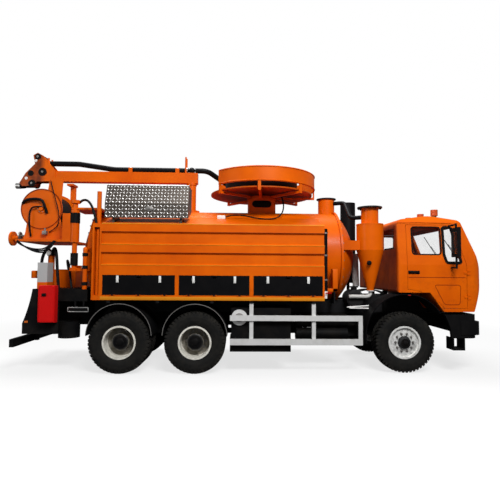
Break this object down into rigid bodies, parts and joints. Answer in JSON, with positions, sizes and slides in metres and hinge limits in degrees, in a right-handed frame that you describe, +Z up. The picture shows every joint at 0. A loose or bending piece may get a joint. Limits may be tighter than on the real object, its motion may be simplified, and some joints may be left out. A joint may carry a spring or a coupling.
{
  "type": "sewer jetter truck",
  "caption": "Three-axle orange sewer cleaning truck with round tank, roof suction boom and hose reel, rear jetting reel, side lockers and tilting cab.",
  "frame": {"origin": "on the ground under the middle of the bounding box", "axes": "+X to the truck's front, +Y to its left, +Z up"},
  "size_m": [9.2, 3.02, 4.2848],
  "materials": {
    "orange_paint": "gloss",
    "black_paint": "satin",
    "chassis_black": "satin",
    "cast_grey": "rough",
    "black_plastic": "matte",
    "lamp": "clear",
    "guard_aluminium": "satin",
    "red_plastic": "gloss",
    "black_rubber": "matte",
    "tread_plate": "raised tread pattern",
    "glass": "clear",
    "dark_trim": "matte",
    "amber_plastic": "clear",
    "tyre": "matte",
    "rim_silver": "satin",
    "rim_white": "satin"
  },
  "bodies": {
    "chassis": {"frame_rails": "chassis_black", "front_axle": "chassis_black", "rear_axles": "chassis_black", "leaf_springs": "chassis_black", "engine_block": "cast_grey", "front_bumper": "black_plastic", "lamps": "lamp", "mudguards": "black_plastic", "side_guards": "guard_aluminium", "side_tanks": "chassis_black", "rear_apron": "chassis_black", "extinguisher_box": "red_plastic", "body_frame": "orange_paint", "side_panels": "orange_paint", "tank_shell": "orange_paint", "cyclone": "orange_paint", "pipework": "black_rubber", "roof_stands": "orange_paint", "tool_box": "tread_plate", "rear_fittings": "orange_paint"},
    "cab": {"cab_shell": "orange_paint", "cab_glass": "glass", "cab_grille": "black_plastic", "cab_interior": "dark_trim", "beacons": "amber_plastic"},
    "door_right": {"door_panel_right": "orange_paint", "door_glass_right": "glass", "mirror_right": "black_plastic"},
    "knuckle_right": {"knuckle_right": "chassis_black"},
    "front_wheel_right": {"front_tyre_right": "tyre", "front_rim_right": "rim_silver"},
    "drive_wheels_right": {"drive_tyres_right": "tyre", "drive_rims_right": "rim_white"},
    "rear_wheels_right": {"rear_tyres_right": "tyre", "rear_rims_right": "rim_white"},
    "flap_right_rear": {"locker_flap_right_rear": "black_paint"},
    "flap_right_middle": {"locker_flap_right_middle": "black_paint"},
    "flap_right_front": {"locker_flap_right_front": "black_paint"},
    "door_left": {"door_panel_left": "orange_paint", "door_glass_left": "glass", "mirror_left": "black_plastic"},
    "knuckle_left": {"knuckle_left": "chassis_black"},
    "front_wheel_left": {"front_tyre_left": "tyre", "front_rim_left": "rim_silver"},
    "drive_wheels_left": {"drive_tyres_left": "tyre", "drive_rims_left": "rim_white"},
    "rear_wheels_left": {"rear_tyres_left": "tyre", "rear_rims_left": "rim_white"},
    "flap_left_rear": {"locker_flap_left_rear": "black_paint"},
    "flap_left_middle": {"locker_flap_left_middle": "black_paint"},
    "flap_left_front": {"locker_flap_left_front": "black_paint"},
    "tool_box_lid": {"tool_box_lid": "tread_plate"},
    "boom": {"boom_beam": "orange_paint", "boom_hose": "black_rubber"},
    "suction_reel": {"reel_drum": "orange_paint", "reel_winding": "black_rubber"},
    "jet_arm": {"jet_arm": "orange_paint"},
    "jet_reel": {"jet_reel_drum": "orange_paint", "jet_winding": "black_rubber"}
  },
  "joints": [
    {"name": "cab_tilt", "type": "hinge", "parent": "chassis", "child": "cab", "pos_m": [4.375, 0, 1.105], "axis": [0, 1, 0], "range_deg": [0, 55]},
    {"name": "door_right_open", "type": "hinge", "parent": "cab", "child": "door_right", "pos_m": [4.285, -1.226, 1.625], "axis": [0, 0, 1], "range_deg": [0, 70]},
    {"name": "steer_right", "type": "hinge", "parent": "chassis", "child": "knuckle_right", "pos_m": [3.135, -0.8, 0.555], "axis": [0, 0, 1], "range_deg": [-35, 35]},
    {"name": "front_wheel_right_spin", "type": "hinge", "parent": "knuckle_right", "child": "front_wheel_right", "pos_m": [3.135, -1, 0.555], "axis": [0, 1, 0], "continuous": true},
    {"name": "drive_wheels_right_spin", "type": "hinge", "parent": "chassis", "child": "drive_wheels_right", "pos_m": [-0.715, -0.915, 0.555], "axis": [0, 1, 0], "continuous": true},
    {"name": "rear_wheels_right_spin", "type": "hinge", "parent": "chassis", "child": "rear_wheels_right", "pos_m": [-2.065, -0.915, 0.555], "axis": [0, 1, 0], "continuous": true},
    {"name": "flap_right_rear_open", "type": "hinge", "parent": "chassis", "child": "flap_right_rear", "pos_m": [-1.7265, -1.258, 1.405], "axis": [1, 0, 0], "range_deg": [0, 95]},
    {"name": "flap_right_middle_open", "type": "hinge", "parent": "chassis", "child": "flap_right_middle", "pos_m": [-0.3755, -1.258, 1.405], "axis": [1, 0, 0], "range_deg": [0, 95]},
    {"name": "flap_right_front_open", "type": "hinge", "parent": "chassis", "child": "flap_right_front", "pos_m": [0.9625, -1.258, 1.405], "axis": [1, 0, 0], "range_deg": [0, 95]},
    {"name": "door_left_open", "type": "hinge", "parent": "cab", "child": "door_left", "pos_m": [4.285, 1.226, 1.625], "axis": [0, 0, -1], "range_deg": [0, 70]},
    {"name": "steer_left", "type": "hinge", "parent": "chassis", "child": "knuckle_left", "pos_m": [3.135, 0.8, 0.555], "axis": [0, 0, 1], "range_deg": [-35, 35]},
    {"name": "front_wheel_left_spin", "type": "hinge", "parent": "knuckle_left", "child": "front_wheel_left", "pos_m": [3.135, 1, 0.555], "axis": [0, 1, 0], "continuous": true},
    {"name": "drive_wheels_left_spin", "type": "hinge", "parent": "chassis", "child": "drive_wheels_left", "pos_m": [-0.715, 0.915, 0.555], "axis": [0, 1, 0], "continuous": true},
    {"name": "rear_wheels_left_spin", "type": "hinge", "parent": "chassis", "child": "rear_wheels_left", "pos_m": [-2.065, 0.915, 0.555], "axis": [0, 1, 0], "continuous": true},
    {"name": "flap_left_rear_open", "type": "hinge", "parent": "chassis", "child": "flap_left_rear", "pos_m": [-1.7265, 1.258, 1.405], "axis": [-1, 0, 0], "range_deg": [0, 95]},
    {"name": "flap_left_middle_open", "type": "hinge", "parent": "chassis", "child": "flap_left_middle", "pos_m": [-0.3755, 1.258, 1.405], "axis": [-1, 0, 0], "range_deg": [0, 95]},
    {"name": "flap_left_front_open", "type": "hinge", "parent": "chassis", "child": "flap_left_front", "pos_m": [0.9625, 1.258, 1.405], "axis": [-1, 0, 0], "range_deg": [0, 95]},
    {"name": "tool_box_lid_open", "type": "hinge", "parent": "chassis", "child": "tool_box_lid", "pos_m": [-1.62, -0.688, 3.405], "axis": [-1, 0, 0], "range_deg": [0, 78]},
    {"name": "boom_slew", "type": "hinge", "parent": "chassis", "child": "boom", "pos_m": [-0.945, 0, 3.69], "axis": [0, 0, -1], "range_deg": [-90, 90]},
    {"name": "suction_reel_spin", "type": "hinge", "parent": "chassis", "child": "suction_reel", "pos_m": [0.535, 0, 3.455], "axis": [0, 0, 1], "continuous": true},
    {"name": "jet_arm_swing", "type": "hinge", "parent": "chassis", "child": "jet_arm", "pos_m": [-2.995, -0.95, 2.66], "axis": [0, 0, 1], "range_deg": [0, 100]},
    {"name": "jet_reel_spin", "type": "hinge", "parent": "jet_arm", "child": "jet_reel", "pos_m": [-3.73, -0.37, 3.016], "axis": [0, 1, 0], "continuous": true}
  ],
  "couplings": [
    {"joint": "steer_right", "follows": "steer_left", "ratio": 1}
  ]
}
